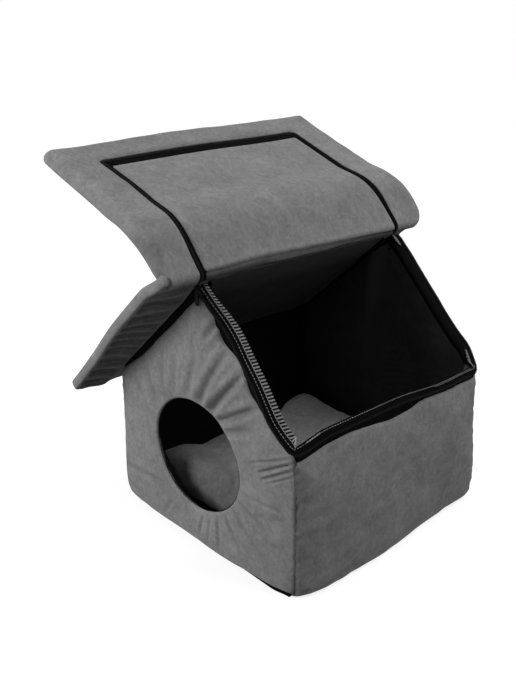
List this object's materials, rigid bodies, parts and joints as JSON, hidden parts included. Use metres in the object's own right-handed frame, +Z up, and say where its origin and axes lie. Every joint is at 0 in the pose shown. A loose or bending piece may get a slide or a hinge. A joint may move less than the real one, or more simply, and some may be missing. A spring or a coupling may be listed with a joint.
{
  "type": "pet bed house",
  "caption": "Soft foam-walled pet house in grey suede cloth, with a round entrance, a loose cushion and a zipped roof flap that folds back over the ridge.",
  "frame": {"origin": "centre of the walls' footprint on the underside of the base sheet", "axes": "+X towards the zipped roof slope, -Y towards the round entrance, +Z up"},
  "size_m": [0.5007, 0.517, 0.551],
  "materials": {
    "grey_suede": "matte",
    "black_lining": "matte",
    "foam": "matte",
    "zip_tape": "matte",
    "zip_coil": "satin",
    "grey_thread": "matte",
    "dark_metal": "satin"
  },
  "bodies": {
    "house": {"front_cover": "grey_suede", "back_cover": "grey_suede", "left_cover": "grey_suede", "right_cover": "grey_suede", "left_roof_cover": "grey_suede", "left_roof_lining": "grey_suede", "ridge_cover": "grey_suede", "floor_lining": "black_lining", "front_lining": "black_lining", "back_lining": "black_lining", "left_lining": "black_lining", "right_lining": "black_lining", "entrance_edging": "black_lining", "base_sheet": "black_lining", "floor_foam": "foam", "front_foam": "foam", "back_foam": "foam", "left_foam": "foam", "right_foam": "foam", "left_roof_foam": "foam", "ridge_foam": "foam", "left_seam_tape": "zip_tape", "house_zip_tape": "zip_tape", "house_zip_coil": "zip_coil", "opening_overlock": "grey_thread", "zip_stops": "dark_metal"},
    "flap_near": {"flap_near_cover": "grey_suede", "flap_near_foam": "foam", "flap_near_panel": "grey_suede", "flap_near_border": "grey_suede", "flap_near_zip_tape": "zip_tape", "flap_near_zip_coil": "zip_coil"},
    "flap_far": {"flap_far_cover": "grey_suede", "flap_far_foam": "foam", "flap_far_panel": "grey_suede", "flap_far_border": "grey_suede", "flap_far_zip_tape": "zip_tape", "flap_far_zip_coil": "zip_coil"},
    "slider": {"zip_slider": "dark_metal"},
    "pull": {"zip_pull": "dark_metal"},
    "cushion": {"cushion_top": "grey_suede", "cushion_bottom": "grey_suede", "cushion_filling": "foam"}
  },
  "joints": [
    {"name": "roof_flap_hinge", "type": "hinge", "parent": "house", "child": "flap_near", "pos_m": [0, 0, 0.40758], "axis": [0, 1, 0], "range_deg": [0, 174]},
    {"name": "roof_flap_bend", "type": "hinge", "parent": "flap_near", "child": "flap_far", "pos_m": [-0.02991, 0, 0.45597], "axis": [0, 1, 0], "range_deg": [0, 28]},
    {"name": "zip_slide", "type": "slide", "parent": "house", "child": "slider", "axis": [0.7414, 0, -0.6711], "range_m": [0, 0.23]},
    {"name": "pull_swing", "type": "hinge", "parent": "slider", "child": "pull", "pos_m": [0.00433, -0.2037, 0.38437], "axis": [0, 1, 0], "range_deg": [-45, 45]},
    {"name": "cushion_lift", "type": "slide", "parent": "house", "child": "cushion", "axis": [0, 0, 1], "range_m": [0, 0.15]}
  ],
  "couplings": [
    {"joint": "roof_flap_bend", "follows": "roof_flap_hinge", "ratio": 0.16092}
  ]
}
